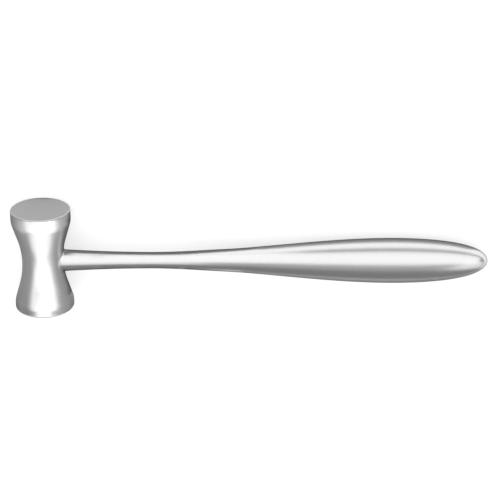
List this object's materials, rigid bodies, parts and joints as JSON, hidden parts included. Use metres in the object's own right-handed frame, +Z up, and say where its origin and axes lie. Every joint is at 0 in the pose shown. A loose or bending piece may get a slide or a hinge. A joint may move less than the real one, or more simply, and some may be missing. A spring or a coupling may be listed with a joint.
{
  "type": "surgical mallet",
  "caption": "All-steel surgical mallet with a waisted round head, two flat striking faces and a slender handle that swells into a drop-shaped grip.",
  "frame": {"origin": "middle of the mallet's bounding box on the surface it lies on", "axes": "+X from the head along the handle to the tail, +Y along the head's axis to the striking face with the longer land, +Z up from the surface it lies on"},
  "size_m": [0.22, 0.0492, 0.0272],
  "materials": {
    "head_steel": "satin turned, with ground striking faces",
    "handle_steel": "satin, finely brushed around"
  },
  "bodies": {
    "root": {"head": "head_steel", "handle": "handle_steel"}
  },
  "joints": []
}
